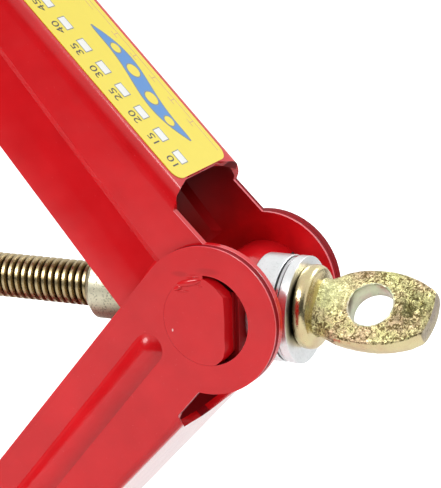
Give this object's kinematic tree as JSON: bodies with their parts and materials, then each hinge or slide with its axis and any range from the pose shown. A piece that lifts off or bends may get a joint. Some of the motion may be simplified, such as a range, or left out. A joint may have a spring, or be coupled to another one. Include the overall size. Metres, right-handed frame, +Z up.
{
  "type": "scissor jack",
  "caption": "Screw-driven scissor jack with four geared channel arms, a base plate, a slotted saddle and a crank eye.",
  "frame": {"origin": "on the ground under the middle of the base plate", "axes": "+X along the screw towards its eye, +Z up, Y across the jack"},
  "size_m": [0.4854, 0.086, 0.3375],
  "materials": {
    "red_enamel": "gloss red stove enamel on pressed steel",
    "yellow_zinc": "yellow passivated zinc on forged and rolled steel",
    "pale_zinc": "matt pale zinc plate",
    "bearing_steel": "ground bearing steel",
    "pin_steel": "plain steel pins",
    "cage_brass": "stamped brass cage",
    "label_print": "printed vinyl label"
  },
  "bodies": {
    "base": {"base_plate": "red_enamel", "base_bracket": "red_enamel", "base_rivets": "red_enamel", "base_pin_right": "red_enamel", "base_pin_left": "red_enamel"},
    "lower_arm_right": {"lower_arm_right": "red_enamel"},
    "lower_arm_left": {"lower_arm_left": "red_enamel"},
    "upper_arm_right": {"upper_arm_right": "red_enamel", "arm_label": "label_print"},
    "upper_arm_left": {"upper_arm_left": "red_enamel"},
    "trunnion_right": {"trunnion_right": "red_enamel", "bearing_cup": "pale_zinc", "bearing_rear_race": "bearing_steel"},
    "trunnion_left": {"trunnion_left": "red_enamel"},
    "ball_ring": {"bearing_cage": "cage_brass", "bearing_balls": "bearing_steel"},
    "front_race": {"bearing_front_race": "bearing_steel", "thrust_washer": "pale_zinc"},
    "screw": {"lead_screw": "yellow_zinc", "stop_sleeve": "yellow_zinc", "sleeve_pin": "pin_steel", "end_stop_washer": "yellow_zinc", "end_stop_pin": "pin_steel"},
    "saddle": {"saddle_bracket": "red_enamel", "saddle_plate": "red_enamel", "saddle_rivets": "red_enamel", "saddle_pin_right": "red_enamel", "saddle_pin_left": "red_enamel"}
  },
  "joints": [
    {"name": "screw_turn", "type": "hinge", "parent": "trunnion_right", "child": "screw", "pos_m": [0.14044, 0, 0.16377], "axis": [-1, 0, 0], "range_deg": [-20974.8, 9383.5]},
    {"name": "lower_right_fold", "type": "hinge", "parent": "base", "child": "lower_arm_right", "pos_m": [0.02, 0, 0.03], "axis": [0, -1, 0], "range_deg": [-38.05, 17.05]},
    {"name": "lower_left_fold", "type": "hinge", "parent": "base", "child": "lower_arm_left", "pos_m": [-0.02, 0, 0.03], "axis": [0, 1, 0], "range_deg": [-38.05, 17.05]},
    {"name": "right_trunnion_turn", "type": "hinge", "parent": "lower_arm_right", "child": "trunnion_right", "pos_m": [0.14044, 0, 0.16377], "axis": [0, 1, 0], "range_deg": [-38.05, 17.05]},
    {"name": "left_trunnion_turn", "type": "hinge", "parent": "lower_arm_left", "child": "trunnion_left", "pos_m": [-0.14044, 0, 0.16377], "axis": [0, -1, 0], "range_deg": [-38.05, 17.05]},
    {"name": "upper_right_fold", "type": "hinge", "parent": "lower_arm_right", "child": "upper_arm_right", "pos_m": [0.14044, 0, 0.16377], "axis": [0, 1, 0], "range_deg": [-76.05, 34.05]},
    {"name": "upper_left_fold", "type": "hinge", "parent": "lower_arm_left", "child": "upper_arm_left", "pos_m": [-0.14044, 0, 0.16377], "axis": [0, -1, 0], "range_deg": [-76.05, 34.05]},
    {"name": "saddle_level", "type": "hinge", "parent": "upper_arm_right", "child": "saddle", "pos_m": [0.02, 0, 0.29753], "axis": [0, -1, 0], "range_deg": [-38.05, 17.05]},
    {"name": "ball_ring_turn", "type": "hinge", "parent": "trunnion_right", "child": "ball_ring", "pos_m": [0.14044, 0, 0.16257], "axis": [-1, 0, 0], "range_deg": [-10488.4, 4692.8]},
    {"name": "front_race_turn", "type": "hinge", "parent": "trunnion_right", "child": "front_race", "pos_m": [0.14044, 0, 0.16257], "axis": [-1, 0, 0], "range_deg": [-20975.8, 9384.5]}
  ],
  "couplings": [
    {"joint": "lower_right_fold", "follows": "screw_turn", "ratio": 0.0018117},
    {"joint": "lower_left_fold", "follows": "screw_turn", "ratio": 0.0018117},
    {"joint": "right_trunnion_turn", "follows": "screw_turn", "ratio": 0.0018117},
    {"joint": "left_trunnion_turn", "follows": "screw_turn", "ratio": 0.0018117},
    {"joint": "upper_right_fold", "follows": "screw_turn", "ratio": 0.0036234},
    {"joint": "upper_left_fold", "follows": "screw_turn", "ratio": 0.0036234},
    {"joint": "saddle_level", "follows": "screw_turn", "ratio": 0.0018117},
    {"joint": "ball_ring_turn", "follows": "screw_turn", "ratio": 0.5},
    {"joint": "front_race_turn", "follows": "screw_turn", "ratio": 1}
  ]
}
